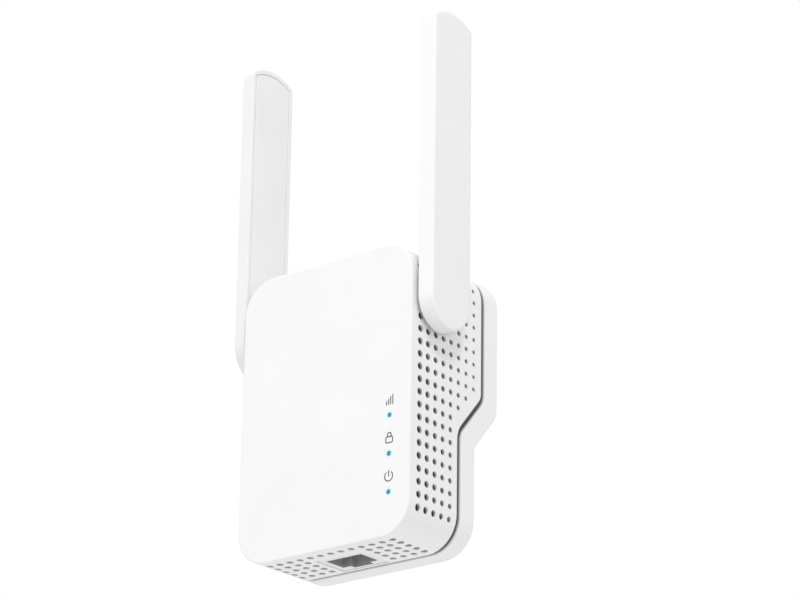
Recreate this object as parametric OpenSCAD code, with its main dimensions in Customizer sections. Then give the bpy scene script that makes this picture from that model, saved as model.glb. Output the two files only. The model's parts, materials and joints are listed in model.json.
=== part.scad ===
// Plug-in wifi range extender with two folding antennas.
// Origin: middle of the plug's three pins, on the wall plane. +Y into the wall, -Y into the room, +Z up.

/* [Case] */
// Width of the case, left side to right side
body_w = 60; // [60:0.5:62]
// Height of the case, bottom to top
body_h = 83; // [83:0.5:85]
// Depth of the case at the plug, front face to wall
body_d = 38.3; // [38.3:0.1:39.5]
// Height of the case top above the plug's middle
plug_drop = 20.1; // [20:0.1:20.5]
// Radius of the four corners of the front outline
corner_r = 9.7; // [9:0.1:11.2]
// Wall thickness of both shells
wall = 2.2; // [2:0.1:2.3]

/* [Seam and step] */
// Wall plane to the seam beside the plug
seam_deep = 7.4; // [7:0.1:9]
// Wall plane to the seam below the step
seam_low = 17.8; // [17:0.1:19]
// How far the rear face steps forward below the plug
step_d = 10.1; // [9:0.1:11]
// Height of the step's upper corner below the plug's middle, on the seam
seam_step_drop = 17.55; // [17:0.05:18.5]
// Height of the step's upper corner below the plug's middle, on the rear face
rear_step_drop = 20.9; // [20.5:0.1:22]
// Lean of the step away from vertical, in degrees
step_lean = 41; // [38:1:45]
// Width of the groove between the two shells
groove_w = 1.4; // [1:0.1:1.8]
// Depth of the groove
groove_d = 1.05; // [0.8:0.05:1.1]

/* [Vents] */
// Rows of vent holes on each side
side_rows = 20; // [10:1:20]
// Rows in each side column, front column first
side_column_rows = [20, 20, 20, 20, 20, 11, 10, 9];
// Distance between side rows
row_pitch = 3.6; // [3.4:0.05:3.7]
// Distance between side columns
column_pitch = 3.356; // [3.2:0.01:3.4]
// Radius of the holes in the front column
vent_r = 1; // [0.8:0.05:1.1]
// How much smaller each following column is
vent_taper = 0.057; // [0:0.001:0.06]
// Holes to each side of the middle in the bottom grid
bottom_half_count = 6; // [4:1:6]
// Distance between the bottom holes across the case
bottom_pitch = 3.57; // [3.4:0.01:3.6]

/* [Antennas] */
// Distance of the hinge axis from the wall plane
pivot_d = 28.2; // [27:0.1:29]
// Height of the hinge axis above the plug's middle
pivot_z = 4.05; // [3.5:0.05:5]
// Width of an antenna
antenna_w = 17.5; // [16:0.1:18]
// Thickness of an antenna
antenna_t = 4.6; // [4.6:0.1:6]
// Height of the antenna tip above the hinge axis
antenna_reach = 86.3; // [70:0.1:100]
// Gap between the case side and the antenna
antenna_gap = 1.08; // [1:0.01:1.4]
// Radius of the hinge barrel
barrel_r = 3.85; // [3.6:0.01:3.85]

/* [Plug] */
// Distance between the line and neutral pins, and from them up to the earth pin
pin_spacing = 22.23; // [22.2:0.01:22.3]
// Length of the line and neutral pins outside the case
pin_length = 17.7; // [17.2:0.1:18.2]
// Length of the earth pin outside the case
earth_length = 22.7; // [22.2:0.1:23.2]
// Long and short side of a line or neutral pin's section
pin_size = [6.35, 3.975];
// Width and height of the earth pin's section
earth_size = [3.975, 7.95];
// Length of the insulating sleeve on a line or neutral pin
sleeve_length = 9.2; // [8:0.1:9.5]

/* [Network jack] */
// Outer width, depth and length of the jack
jack_size = [15.8, 11.5, 21];
// Mouth of the jack: width and depth
jack_mouth = [12.2, 7.4];
// Distance of the jack's front side from the case front
jack_setback = 7.7; // [7.6:0.1:8]

/* [Front] */
// Distance of the indicator column from the middle
led_x = 22.9; // [22:0.1:23]
// Heights of the three indicators below the plug's middle
led_drops = [29.3, 40.1, 50.8];
// Radius of an indicator's light spot
led_r = 0.6; // [0.5:0.05:0.8]
// Radius of the side button
button_r = 2.95; // [2.6:0.05:3]

/* [Hidden] */
$fn = 48;
eps = 0.01;
far = 60;

front_y = -body_d;
top_z = plug_drop;
low_z = plug_drop - body_h;
side_x = body_w / 2;
inner_x = side_x - wall;
front_inner_y = front_y + wall;
lip_gap = 0.05;
lip_reach = 2;
rim_wall = groove_d - lip_gap;

pivot_y = -pivot_d;
antenna_x = side_x + antenna_gap;
antenna_r = antenna_w / 2;
crown_r = 15.3;
crown_corner_r = 2;
rim = 1.4;
skin = 1.3;
cover_gap = 0.15;
cover_t = 1.2;
barrel_end_x = 24.5;
clip_x = 26.2;
clip_t = 0.75;
clip_groove_r = 3.3;
washer_t = 0.75;
feed_r = 0.6;
feed_bore_r = 0.9;
feed_x = 33.35;

board_t = 1.6;
main_board_y = front_y + jack_setback - board_t;
main_rear_y = main_board_y + board_t;
main_half_w = 26;
main_top_z = -2;
main_low_z = low_z + wall + 0.5;
power_board_y = -9.6;
power_half_w = 25;
power_top_z = 16.5;
power_low_z = -15;

jack_x = jack_size[0] / 2;
jack_y0 = main_rear_y;
jack_y1 = main_rear_y + jack_size[1];
jack_low_z = low_z + 0.1;
jack_top_z = jack_low_z + jack_size[2];
mouth_y0 = jack_y0 + 1.6;
mouth_y1 = mouth_y0 + jack_mouth[1];
mouth_depth = 14;
latch_w = 6.6;
latch_d = 1.7;

button_y = -27.6;
button_z = -41;
button_out = 0.6;
button_inner_x = 26.8;

first_vent_d = 4;
vent_drop = 3.5;
hinge_clear_r = 7.2;
button_clear_r = 5;

pin_low_z = -pin_spacing / 2;
pin_high_z = pin_spacing / 2;
sleeve_t = 0.35;
pin_flange_y = -wall - 1.6;
pin_flange_rim = 1.6;
pin_tail_r = 1.2;
carrier_y = pin_flange_y - 1.5;

// Screws, as [x, z] on the right side
screw_r = 1.3;
screw_length = 13;
screw_head_r = 2.4;
screw_head_t = 1.7;
screw_well_r = 2.8;
top_screw = [21.5, 12];
low_screw = [20.5, -55.5];
board_screw = [22, -14];
power_screw = [20, -12];
small_screw_r = 0.85;
small_head_r = 2;
small_head_t = 1.2;
small_hole_r = 0.9;
small_notch_r = 1.2;
top_seat_y = -12;
low_seat_y = -14;
top_joint_y = -18.5;
low_joint_y = -20.05;
boss_r = 3;
column_r = 4;
small_boss_r = 2.2;
board_clearance = 0.4;

label_size = [39.6, 13.6];
label_z = -45;
label_t = 0.12;
label_recess = 0.2;

// Components on the power board, as [x, z, width, height, depth]
transformer = [0, 3, 17, 14, 12];
transformer_window = [0, 3, 11, 16, 9.8];
winding = [0, 3, 10.6, 13, 8.8];
winding_flange = [10.6, 1.2, 9.6];
winding_flange_z = 7;
bridge = [-9.5, -12, 6.5, 4.6, 2.5];
optocoupler_box = [12, 13, 6.4, 4.6, 3.4];

// Round components on the power board, as [x, z, radius, length]
input_capacitor_low = [-18, -4.6, 4, 12];
input_capacitor_high = [-18, 3.6, 4, 12];
output_capacitor_can = [18, 2.5, 3.2, 9];
choke = [16.5, -8.2, 2.4, 1.3];

// Components on the main board, as [x, z, width, height, depth]
chip_middle_z = -26;
chip = [0, chip_middle_z, 12, 12, 0.9];
chip_pad = [10, 10, 1.2];
can = [0, chip_middle_z, 24, 20, 2.4];
can_t = 0.3;
spreader = [30, 22, 1.5];
fin_height = 4.5;
fin_pitch = 4.5;
memory = [-18, -27, 7, 11, 1];
flash = [18, -34, 5, 6, 0.9];
clock = [17, -25, 2.5, 3.2, 0.8];
lan_coils = [13.5, -46, 7, 12, 3.5];

// Link between the boards
link_z = -8;
link_pitch = 2;
link_pin = 0.64;
socket_x = 20;
socket_z = -6;

case_white = [0.95, 0.95, 0.95];
board_green = [0.1, 0.35, 0.2];
chip_black = [0.08, 0.08, 0.09];
metal_grey = [0.75, 0.76, 0.78];
brass = [0.8, 0.65, 0.35];

// ---- Shared shapes ----

// Points of an arc about a centre
function arc(centre, r, start, end, steps) =
    [for (i = [0:steps]) let (a = start + (end - start) * i / steps)
        centre + r * [cos(a), sin(a)]];

// Line down the case side that steps forward below the plug, as [y, z] points
function step_line(y_high, y_low, z_high, r_high, r_low) =
    let (
        ease = tan(step_lean / 2),
        z_low = z_high - (y_high - y_low) / tan(step_lean)
    )
    concat(
        [[y_high, far]],
        arc([y_high - r_high, z_high + r_high * ease], r_high, 0, -step_lean, 8),
        arc([y_low + r_low, z_low - r_low * ease], r_low, 180 - step_lean, 180, 8),
        [[y_low, -2 * far]]
    );

// The seam line, moved back by a distance across itself
function seam_line(back) = step_line(
    -seam_deep + back, -seam_low + back,
    -seam_step_drop - back * tan(step_lean / 2), 4 + back, 7 - back);

// The line of the rear face, moved forward by a distance across itself
function rear_line(inset) = step_line(
    -inset, -step_d - inset,
    -rear_step_drop + inset * tan(step_lean / 2), 7 - inset, 4 + inset);

// Extrudes an [x, z] outline from y0 to y1
module along_y(y0, y1) {
    translate([0, y1, 0])
        rotate([90, 0, 0])
            linear_extrude(height = y1 - y0)
                children();
}

// Extrudes a [y, z] outline from x0 to x1
module along_x(x0, x1) {
    translate([x0, 0, 0])
        rotate([90, 0, 90])
            linear_extrude(height = x1 - x0)
                children();
}

// Everything in front of a line down the case side
module in_front_of(line) {
    along_x(-far, far)
        polygon(concat([[-far, -2 * far], [-far, far]], line));
}

// Case outline seen from the front, moved inward
module case_outline(inset) {
    r = corner_r - inset;
    x = side_x - corner_r;
    high = top_z - corner_r;
    low = low_z + corner_r;
    translate([-x - r, low])
        square([2 * (x + r), high - low]);
    translate([-x, low - r])
        square([2 * x, high - low + 2 * r]);
    for (sx = [-1, 1], z = [low, high])
        translate([sx * x, z])
            circle(r);
}

// Case outline from y0 to y1, moved inward
module case_block(inset, y0, y1) {
    along_y(y0, y1)
        case_outline(inset);
}

// Rod along X, Y or Z from a point
module rod_x(x0, x1, y, z, r) {
    translate([x0, y, z])
        rotate([0, 90, 0])
            cylinder(h = x1 - x0, r = r);
}

module rod_y(y0, y1, x, z, r) {
    translate([x, y1, z])
        rotate([90, 0, 0])
            cylinder(h = y1 - y0, r = r);
}

// Box between two corners
module block(low, high) {
    translate(low)
        cube(high - low);
}

// Box on the main board's rear face, from [x, z, width, height, depth]
module on_main_board(part) {
    block([part[0] - part[2] / 2, main_rear_y, part[1] - part[3] / 2],
        [part[0] + part[2] / 2, main_rear_y + part[4], part[1] + part[3] / 2]);
}

// Box on the power board's front face, from [x, z, width, height, depth]
module on_power_board(part) {
    block([part[0] - part[2] / 2, power_board_y - part[4], part[1] - part[3] / 2],
        [part[0] + part[2] / 2, power_board_y, part[1] + part[3] / 2]);
}

// Copies at both sides of the middle plane
module both_sides() {
    for (side = [0, 1])
        mirror([side, 0, 0])
            children();
}

// ---- Case ----

function vent_y(column) = front_y + first_vent_d + column_pitch * column;
function vent_z(row) = top_z - vent_drop - row_pitch * row;

// True where a side vent would meet the hinge or the button
function vent_blocked(y, z, side) =
    norm([y - pivot_y, z - pivot_z]) < hinge_clear_r
    || (side < 0 && norm([y - button_y, z - button_z]) < button_clear_r);

module side_vents(side) {
    for (column = [0:len(side_column_rows) - 1], row = [1:min(side_rows, side_column_rows[column])])
        if (!vent_blocked(vent_y(column), vent_z(row), side))
            translate([side * side_x, vent_y(column), vent_z(row)])
                rotate([0, 90, 0])
                    cylinder(h = 3 * wall, r = vent_r - vent_taper * column, center = true, $fn = 8);
}

module bottom_vents() {
    for (column = [-bottom_half_count:bottom_half_count], row = [0:4])
        if (abs(column) > 2 || row == 0)
            translate([bottom_pitch * column, vent_y(row), low_z])
                cylinder(h = 3 * wall, r = vent_r, center = true, $fn = 8);
}

module front_screw_bosses() {
    both_sides() {
        rod_y(front_inner_y - eps, top_joint_y, top_screw[0], top_screw[1], boss_r);
        rod_y(front_inner_y - eps, low_joint_y, low_screw[0], low_screw[1], boss_r);
        rod_y(front_inner_y - eps, main_board_y, board_screw[0], board_screw[1], small_boss_r);
    }
}

module front_screw_holes() {
    both_sides() {
        rod_y(top_seat_y - screw_length - 2, top_joint_y + 1, top_screw[0], top_screw[1], screw_r - 0.05);
        rod_y(low_seat_y - screw_length - 2, low_joint_y + 1, low_screw[0], low_screw[1], screw_r - 0.05);
        rod_y(front_inner_y, main_board_y + 1, board_screw[0], board_screw[1], small_hole_r);
    }
}

module front_shell() {
    color(case_white)
        difference() {
            union() {
                difference() {
                    intersection() {
                        case_block(0, front_y, 0);
                        in_front_of(seam_line(0));
                    }
                    case_block(wall, front_inner_y, 1);
                    difference() {
                        case_block(rim_wall, front_inner_y, 1);
                        in_front_of(seam_line(-lip_reach - 0.1));
                        block([-jack_x - 1, -far, 2 * low_z], [jack_x + 1, far, low_z / 2]);
                    }
                }
                front_screw_bosses();
            }
            front_screw_holes();
            both_sides()
                rod_x(inner_x - 1, side_x + 1, pivot_y, pivot_z, barrel_r + 0.05);
            side_vents(-1);
            side_vents(1);
            bottom_vents();
            rod_x(-side_x - 1, -inner_x + 1, button_y, button_z, button_r + 0.15);
            for (drop = led_drops)
                rod_y(front_y - 1, front_inner_y + 1, led_x, -drop, led_r + 0.05);
            block([-jack_x - 0.2, jack_y0 - 0.2, low_z - 1], [jack_x + 0.2, jack_y1 + 0.2, low_z + wall + 1]);
        }
}

module rear_shell() {
    color(case_white)
        difference() {
            union() {
                difference() {
                    intersection() {
                        case_block(0, front_y, 0);
                        in_front_of(rear_line(0));
                    }
                    in_front_of(seam_line(groove_w));
                    difference() {
                        case_block(wall, front_y - 1, 0);
                        translate([0, eps, 0])
                            difference() {
                                case_block(0, front_y - 2, 1);
                                in_front_of(rear_line(wall));
                            }
                    }
                }
                difference() {
                    intersection() {
                        case_block(groove_d, front_y, 0);
                        in_front_of(seam_line(groove_w + 0.5));
                    }
                    case_block(wall, front_y - 1, 1);
                    in_front_of(seam_line(-lip_reach));
                    block([-jack_x - 1.2, -far, 2 * low_z], [jack_x + 1.2, -seam_low, low_z + 5]);
                }
                both_sides() {
                    rod_y(top_joint_y + 0.1, -wall + eps, top_screw[0], top_screw[1], column_r);
                    rod_y(low_joint_y + 0.05, -step_d - wall + eps, low_screw[0], low_screw[1], column_r);
                    rod_y(power_board_y + board_t, -wall + eps, power_screw[0], power_screw[1], small_boss_r);
                }
            }
            both_sides() {
                rod_y(top_seat_y, 1, top_screw[0], top_screw[1], screw_well_r);
                rod_y(top_joint_y - 1, 1, top_screw[0], top_screw[1], screw_r + 0.15);
                rod_y(low_seat_y, 1, low_screw[0], low_screw[1], screw_well_r);
                rod_y(low_joint_y - 1, 1, low_screw[0], low_screw[1], screw_r + 0.15);
                rod_y(power_board_y, -wall - 1, power_screw[0], power_screw[1], small_hole_r);
                pin_shank(pin_size, pin_spacing / 2, pin_low_z, [-wall - 1, 1], -0.02);
            }
            pin_shank(earth_size, 0, pin_high_z, [-wall - 1, 1], -0.02);
            label_block(0.2, -step_d - label_recess, 1);
        }
}

// Block of the rating label's outline, grown outward
module label_block(grow, y0, y1) {
    w = label_size[0] / 2 + grow;
    h = label_size[1] / 2 + grow;
    block([-w, y0, label_z - h], [w, y1, label_z + h]);
}

module case_screw(x, z, seat_y) {
    difference() {
        union() {
            rod_y(seat_y, seat_y + screw_head_t, x, z, screw_head_r);
            rod_y(seat_y - screw_length, seat_y, x, z, screw_r - 0.1);
        }
        along_y(seat_y + 0.9, seat_y + 2)
            translate([x, z])
                for (turn = [0, 90])
                    rotate(turn)
                        square([2.8, 0.6], center = true);
    }
}

module case_screws() {
    color(metal_grey)
        both_sides() {
            case_screw(top_screw[0], top_screw[1], top_seat_y);
            case_screw(low_screw[0], low_screw[1], low_seat_y);
        }
}

module rating_label() {
    color("silver")
        label_block(0, -step_d - label_recess, -step_d - label_recess + label_t);
}

// ---- Plug ----

// Rectangular rod along Y about a pin's axis, its section moved inward
module pin_shank(size, x, z, span, inset) {
    w = size[0] / 2 - inset;
    h = size[1] / 2 - inset;
    block([x - w, span[0], z - h], [x + w, span[1], z + h]);
}

// Pin with its flange behind the case wall
module flanged_pin(size, x, z, length) {
    pin_shank(size, x, z, [-wall, length - 1], 0);
    pin_shank(size, x, z, [length - 1 - eps, length], 0.6);
    pin_shank(size, x, z, [pin_flange_y, -wall], -pin_flange_rim);
}

module live_pin(side) {
    x = side * pin_spacing / 2;
    color(brass)
        difference() {
            union() {
                flanged_pin(pin_size, x, pin_low_z, pin_length);
                rod_y(-7.5, pin_flange_y + 1, x, pin_low_z, pin_tail_r);
            }
            difference() {
                pin_shank(pin_size, x, pin_low_z, [0, sleeve_length], -1);
                pin_shank(pin_size, x, pin_low_z, [-1, sleeve_length + 1], sleeve_t);
            }
        }
}

module line_pin() {
    live_pin(1);
}

module neutral_pin() {
    live_pin(-1);
}

module pin_sleeves() {
    color("black")
        both_sides()
            difference() {
                pin_shank(pin_size, pin_spacing / 2, pin_low_z, [0, sleeve_length], 0);
                pin_shank(pin_size, pin_spacing / 2, pin_low_z, [-1, sleeve_length + 1], sleeve_t);
            }
}

// The device is double insulated, so its earth pin is a plastic one that only opens the shutters
module earth_pin() {
    color(case_white)
        flanged_pin(earth_size, 0, pin_high_z, earth_length);
}

module pin_carrier() {
    color("dimgray")
        difference() {
            block([-17, carrier_y, pin_low_z - 4], [17, pin_flange_y, pin_low_z + 4]);
            both_sides()
                rod_y(carrier_y - 1, 0, pin_spacing / 2, pin_low_z, pin_tail_r + 0.1);
        }
}

module pin_contact(side) {
    x = side * pin_spacing / 2;
    color(brass)
        difference() {
            rod_y(power_board_y + board_t, carrier_y, x, pin_low_z, 2.2);
            rod_y(power_board_y, 0, x, pin_low_z, pin_tail_r + 0.02);
        }
}

module line_contact() {
    pin_contact(1);
}

module neutral_contact() {
    pin_contact(-1);
}

// ---- Power supply ----

module power_board() {
    color(board_green)
        difference() {
            intersection() {
                block([-power_half_w, power_board_y, power_low_z],
                    [power_half_w, power_board_y + board_t, power_top_z]);
                case_block(wall + board_clearance, front_y, 0);
            }
            both_sides() {
                block([top_screw[0] - 4.5, power_board_y - 1, top_screw[1] - 4.5], [far, 0, far]);
                rod_y(power_board_y - 1, 0, power_screw[0], power_screw[1], small_notch_r);
            }
            block([-4.5, power_board_y - 1, link_z - 1.3], [4.5, 0, link_z + 1.3]);
        }
}

module transformer_core() {
    color([0.25, 0.25, 0.27])
        difference() {
            on_power_board(transformer);
            on_power_board(transformer_window);
        }
}

module transformer_bobbin() {
    color([0.9, 0.8, 0.3]) {
        on_power_board(winding);
        for (side = [-1, 1])
            on_power_board(concat([winding[0], winding[1] + side * winding_flange_z], winding_flange));
    }
}

// Can capacitor from [x, z, radius, length], with the vent cross in its end
module can_capacitor(part) {
    end_y = power_board_y - part[3];
    difference() {
        rod_y(end_y, power_board_y, part[0], part[1], part[2]);
        along_y(end_y - 1, end_y + 0.25)
            translate([part[0], part[1]])
                for (turn = [45, 135])
                    rotate(turn)
                        square([1.4 * part[2], 0.4], center = true);
    }
}

module input_capacitors() {
    color([0.15, 0.15, 0.18]) {
        can_capacitor(input_capacitor_low);
        can_capacitor(input_capacitor_high);
    }
}

module output_capacitor() {
    color([0.15, 0.2, 0.35])
        can_capacitor(output_capacitor_can);
}

module filter_choke() {
    color([0.5, 0.35, 0.2])
        translate([choke[0], power_board_y - choke[2] - 1, choke[1]])
            rotate([90, 0, 0])
                rotate_extrude()
                    translate([choke[2], 0])
                        circle(choke[3]);
}

module bridge_rectifier() {
    color(chip_black)
        on_power_board(bridge);
}

module fuse_resistor() {
    color([0.45, 0.6, 0.45])
        rod_x(-13.6, -6, power_board_y - 1.6, -7.6, 1.5);
}

module safety_capacitor() {
    color([0.2, 0.35, 0.7])
        rod_x(11, 13.6, power_board_y - 3.6, 4, 3.5);
}

module optocoupler() {
    color(chip_black)
        on_power_board(optocoupler_box);
}

// Four square rods across the boards' gap
module link_rods(side, y0, y1) {
    for (i = [-1.5:1.5])
        block([link_pitch * i - side / 2, y0, link_z - side / 2],
            [link_pitch * i + side / 2, y1, link_z + side / 2]);
}

module board_link_header() {
    color(chip_black)
        difference() {
            block([-4.2, main_rear_y, link_z - 1.3], [4.2, main_rear_y + 2.5, link_z + 1.3]);
            link_rods(link_pin + 0.06, main_rear_y - 1, main_rear_y + 4);
        }
}

module board_link_pins() {
    color(brass)
        link_rods(link_pin, main_rear_y, power_board_y + board_t);
}

// ---- Main board ----

module main_board() {
    color(board_green)
        difference() {
            intersection() {
                block([-main_half_w, main_board_y, main_low_z], [main_half_w, main_rear_y, main_top_z]);
                case_block(wall + board_clearance, front_y, 0);
            }
            both_sides() {
                rod_y(main_board_y - 1, main_rear_y + 1, low_screw[0], low_screw[1], 3.4);
                rod_y(main_board_y - 1, main_rear_y + 1, board_screw[0], board_screw[1], small_notch_r);
            }
        }
}

module board_screws() {
    color(metal_grey)
        both_sides() {
            rod_y(main_rear_y, main_rear_y + small_head_t, board_screw[0], board_screw[1], small_head_r);
            rod_y(main_board_y - 2.5, main_rear_y + eps, board_screw[0], board_screw[1], small_screw_r);
            rod_y(power_board_y - small_head_t, power_board_y, power_screw[0], power_screw[1], small_head_r);
            rod_y(power_board_y - eps, power_board_y + 4.5, power_screw[0], power_screw[1], small_screw_r);
        }
}

module wifi_chip() {
    color(chip_black)
        on_main_board(chip);
}

module thermal_pad() {
    color([0.55, 0.7, 0.8])
        translate([0, chip[4], 0])
            on_main_board(concat([chip[0], chip[1]], chip_pad));
}

module shield_can() {
    color(metal_grey)
        difference() {
            on_main_board(can);
            on_main_board([can[0], can[1], can[2] - 2 * can_t, can[3] - 2 * can_t, can[4] - can_t]);
        }
}

module heat_spreader() {
    color([0.8, 0.81, 0.83]) {
        translate([0, can[4], 0]) {
            on_main_board(concat([can[0], can[1]], spreader));
            for (i = [-3:3])
                on_main_board([fin_pitch * i, can[1], 1, spreader[1], spreader[2] + fin_height]);
        }
    }
}

module memory_chip() {
    color(chip_black)
        on_main_board(memory);
}

module flash_chip() {
    color(chip_black)
        on_main_board(flash);
}

module crystal() {
    color(metal_grey)
        on_main_board(clock);
}

module lan_transformer() {
    color(chip_black)
        on_main_board(lan_coils);
}

module jack_housing() {
    color([0.82, 0.83, 0.84])
        difference() {
            block([-jack_x, jack_y0, jack_low_z], [jack_x, jack_y1, jack_top_z]);
            block([-jack_mouth[0] / 2, mouth_y0, jack_low_z - 1],
                [jack_mouth[0] / 2, mouth_y1, jack_low_z + mouth_depth]);
            block([-latch_w / 2, mouth_y1 - 1, jack_low_z - 1],
                [latch_w / 2, mouth_y1 + latch_d, jack_low_z + mouth_depth]);
            block([-4.4, jack_y0 - 1, jack_low_z + mouth_depth - 1],
                [4.4, mouth_y1, jack_low_z + mouth_depth + 4]);
        }
}

// Eight sprung wires that lean into the jack's mouth, then turn to the board
module jack_contacts() {
    turn_z = jack_low_z + mouth_depth + 2;
    color(brass)
        for (i = [-3.5:3.5])
            along_x(1.02 * i - 0.18, 1.02 * i + 0.18)
                polygon([
                    [mouth_y0 + 0.3, jack_low_z + 2.5],
                    [mouth_y0 + 0.7, jack_low_z + 2.5],
                    [mouth_y0 + 2, turn_z + 0.4],
                    [jack_y0, turn_z + 0.4],
                    [jack_y0, turn_z],
                    [mouth_y0 + 1.6, turn_z]
                ]);
}

module status_led(drop) {
    color("deepskyblue")
        block([led_x - 0.7, main_board_y - 0.8, -drop - 1], [led_x + 0.7, main_board_y, -drop + 1]);
}

module signal_led() {
    status_led(led_drops[0]);
}

module security_led() {
    status_led(led_drops[1]);
}

module power_led() {
    status_led(led_drops[2]);
}

module light_guide() {
    color([0.85, 0.95, 1]) {
        block([led_x - 1.5, front_inner_y, -led_drops[2] - 1.4],
            [led_x + 1.5, front_inner_y + 1.1, -led_drops[0] + 1.4]);
        for (drop = led_drops) {
            rod_y(front_y + 0.05, front_inner_y + eps, led_x, -drop, led_r);
            rod_y(front_inner_y + 1.1 - eps, main_board_y - 1, led_x, -drop, 1.2);
        }
    }
}

// ---- Side button ----

module button_cap() {
    color(case_white) {
        rod_x(-side_x - button_out, -button_inner_x, button_y, button_z, button_r);
        rod_x(-inner_x + 0.05, -inner_x + 0.8, button_y, button_z, button_r + 0.85);
    }
}

module switch_body() {
    color(chip_black)
        difference() {
            block([-25.6, main_rear_y, button_z - 3], [-21.6, main_rear_y + 4.8, button_z + 3]);
            rod_x(-26, -23, button_y, button_z, 1.05);
        }
}

module switch_plunger() {
    color([0.9, 0.9, 0.85])
        rod_x(-button_inner_x, -24, button_y, button_z, 1);
}

// ---- Antennas ----

// Antenna outline as [y, z] about the hinge axis, moved inward
module antenna_outline(inset) {
    r = antenna_r - inset;
    crown = crown_r - inset;
    corner = crown_corner_r;
    crown_z = antenna_reach - crown_r;
    corner_y = r - corner;
    corner_rise = sqrt(pow(crown - corner, 2) - pow(corner_y, 2));
    side_turn = acos(corner_y / (crown - corner));
    polygon(concat(
        arc([0, 0], r, 180, 360, 32),
        arc([corner_y, crown_z + corner_rise], corner, 0, side_turn, 6),
        arc([0, crown_z], crown, side_turn, 180 - side_turn, 16),
        arc([-corner_y, crown_z + corner_rise], corner, 180 - side_turn, 180, 6)
    ));
}

// Right antenna's outline from x0 to x1
module antenna_block(inset, x0, x1) {
    translate([0, pivot_y, pivot_z])
        along_x(x0, x1)
            antenna_outline(inset);
}

module antenna_shell() {
    color(case_white)
        difference() {
            antenna_block(0, antenna_x, antenna_x + antenna_t);
            antenna_block(rim, antenna_x - 1, antenna_x + antenna_t - skin);
        }
}

// Inner cover with the hinge boss and barrel moulded on
module antenna_cover() {
    color(case_white)
        difference() {
            union() {
                antenna_block(rim + cover_gap, antenna_x, antenna_x + cover_t);
                rod_x(side_x + 0.06, antenna_x + eps, pivot_y, pivot_z, 6);
                rod_x(barrel_end_x, antenna_x, pivot_y, pivot_z, barrel_r);
            }
            rod_x(barrel_end_x - 1, antenna_x + 3, pivot_y, pivot_z, feed_bore_r);
            difference() {
                rod_x(clip_x, clip_x + clip_t + 0.05, pivot_y, pivot_z, barrel_r + 1);
                rod_x(clip_x - 1, clip_x + 2, pivot_y, pivot_z, clip_groove_r);
            }
        }
}

module radiator() {
    color(board_green)
        block([feed_x - 0.4, pivot_y - 5, pivot_z + 22], [feed_x + 0.4, pivot_y + 5, pivot_z + 74]);
}

module feed_cable() {
    color([0.1, 0.1, 0.1]) {
        rod_x(barrel_end_x - 0.1, feed_x, pivot_y, pivot_z, feed_r);
        translate([feed_x, pivot_y, pivot_z]) {
            sphere(feed_r);
            cylinder(h = 22, r = feed_r);
        }
    }
}

module hinge_washer() {
    color([0.3, 0.3, 0.32])
        difference() {
            rod_x(inner_x - 0.05 - washer_t, inner_x - 0.05, pivot_y, pivot_z, 5.6);
            rod_x(inner_x - 2, inner_x + 1, pivot_y, pivot_z, barrel_r + 0.05);
        }
}

// Open steel ring in the barrel's groove
module hinge_clip() {
    color(metal_grey)
        difference() {
            rod_x(clip_x + 0.02, clip_x + clip_t, pivot_y, pivot_z, 5.2);
            rod_x(clip_x - 1, clip_x + 2, pivot_y, pivot_z, clip_groove_r + 0.05);
            block([clip_x - 1, pivot_y - 1.6, pivot_z], [clip_x + 2, pivot_y + 1.6, pivot_z + 8]);
        }
}

// Cable inside the case, from the end of a hinge barrel to its board socket
module coax() {
    color([0.1, 0.1, 0.1]) {
        rod_x(socket_x, barrel_end_x - 0.15, pivot_y, pivot_z, feed_r);
        translate([socket_x, pivot_y, pivot_z])
            sphere(feed_r);
        translate([socket_x, pivot_y, socket_z]) {
            cylinder(h = pivot_z - socket_z, r = feed_r);
            sphere(feed_r);
        }
        rod_y(main_rear_y + 1, pivot_y, socket_x, socket_z, feed_r);
        rod_y(main_rear_y + 1, main_rear_y + 1.7, socket_x, socket_z, 1.4);
    }
}

module antenna_sockets() {
    color(brass)
        both_sides()
            rod_y(main_rear_y, main_rear_y + 1, socket_x, socket_z, 1.2);
}

module left() {
    mirror([1, 0, 0])
        children();
}

front_shell();
rear_shell();
case_screws();
rating_label();
line_pin();
neutral_pin();
pin_sleeves();
earth_pin();
pin_carrier();
line_contact();
neutral_contact();
power_board();
transformer_core();
transformer_bobbin();
input_capacitors();
output_capacitor();
filter_choke();
bridge_rectifier();
fuse_resistor();
safety_capacitor();
optocoupler();
board_link_header();
board_link_pins();
main_board();
board_screws();
wifi_chip();
thermal_pad();
shield_can();
heat_spreader();
memory_chip();
flash_chip();
crystal();
lan_transformer();
jack_housing();
jack_contacts();
signal_led();
security_led();
power_led();
light_guide();
button_cap();
switch_body();
switch_plunger();
antenna_sockets();
left() coax();  // left_coax
coax();  // right_coax
left() antenna_shell();  // left_antenna_shell
left() antenna_cover();  // left_antenna_cover
left() radiator();  // left_radiator
left() feed_cable();  // left_feed_cable
left() hinge_washer();  // left_hinge_washer
left() hinge_clip();  // left_hinge_clip
antenna_shell();  // right_antenna_shell
antenna_cover();  // right_antenna_cover
radiator();  // right_radiator
feed_cable();  // right_feed_cable
hinge_washer();  // right_hinge_washer
hinge_clip();  // right_hinge_clip
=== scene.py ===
"""Looks of a plug-in wifi range extender with two folding antennas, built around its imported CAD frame."""
import json
import math

import bmesh
import bpy
from mathutils import Matrix, Vector

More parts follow.
